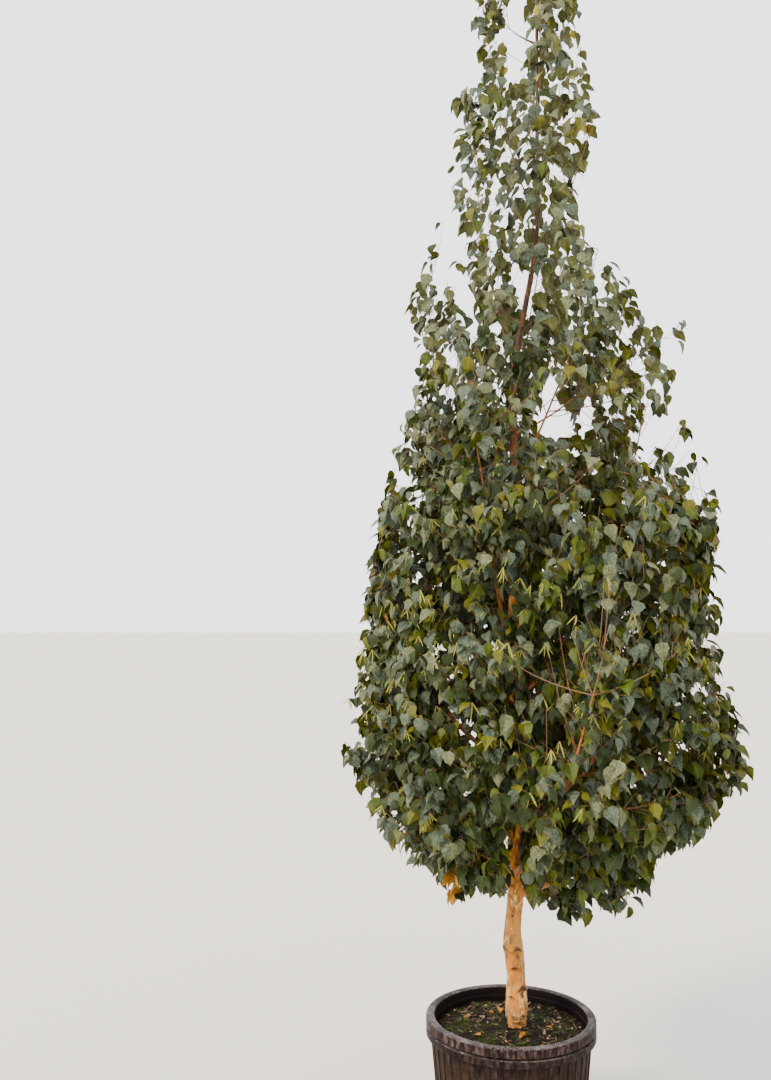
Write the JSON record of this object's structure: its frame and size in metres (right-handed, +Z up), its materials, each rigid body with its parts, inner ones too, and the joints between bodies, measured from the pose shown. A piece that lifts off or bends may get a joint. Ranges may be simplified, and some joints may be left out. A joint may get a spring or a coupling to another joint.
{
  "type": "columnar birch tree in a nursery pot",
  "caption": "Young upright birch with a narrow leafy crown, growing in a round black nursery pot that hangs in a second, tapered pot.",
  "frame": {"origin": "middle of the outer pot's flat underside, where it stands on the ground", "axes": "+Z up the trunk; +X to the crown's widest side; the front looks along -Y"},
  "size_m": [1.4453, 1.4247, 4.49],
  "materials": {
    "outer_pot_plastic": "weathered black, dusty",
    "growing_pot_plastic": "weathered black",
    "potting_mix": "loose bark mix with moss",
    "trunk_bark": "cream papery bark",
    "bough_bark": "smooth copper-brown bark",
    "foliage": "blue-green leaves on brown twigs"
  },
  "bodies": {
    "root": {"outer_pot": "outer_pot_plastic", "growing_pot": "growing_pot_plastic", "potting_mix": "potting_mix", "trunk": "trunk_bark", "bough_1": "bough_bark", "bough_2": "bough_bark", "bough_3": "bough_bark", "bough_4": "bough_bark", "bough_5": "bough_bark", "bough_6": "bough_bark", "bough_7": "bough_bark", "bough_8": "bough_bark", "bough_9": "bough_bark", "bough_10": "bough_bark", "bough_11": "bough_bark", "bough_12": "bough_bark", "bough_13": "bough_bark", "bough_14": "bough_bark", "bough_15": "bough_bark", "bough_16": "bough_bark", "bough_foliage_1": "foliage", "bough_foliage_2": "foliage", "bough_foliage_3": "foliage", "bough_foliage_4": "foliage", "bough_foliage_5": "foliage", "bough_foliage_6": "foliage", "bough_foliage_7": "foliage", "bough_foliage_8": "foliage", "bough_foliage_9": "foliage", "bough_foliage_10": "foliage", "bough_foliage_11": "foliage", "bough_foliage_12": "foliage", "bough_foliage_13": "foliage", "bough_foliage_14": "foliage", "bough_foliage_15": "foliage", "bough_foliage_16": "foliage", "trunk_foliage_1": "foliage", "trunk_foliage_2": "foliage", "trunk_foliage_3": "foliage", "trunk_foliage_4": "foliage", "trunk_foliage_5": "foliage", "trunk_foliage_6": "foliage", "trunk_foliage_7": "foliage", "trunk_foliage_8": "foliage", "trunk_foliage_9": "foliage", "trunk_foliage_10": "foliage", "trunk_foliage_11": "foliage", "leader_foliage": "foliage"}
  },
  "joints": []
}
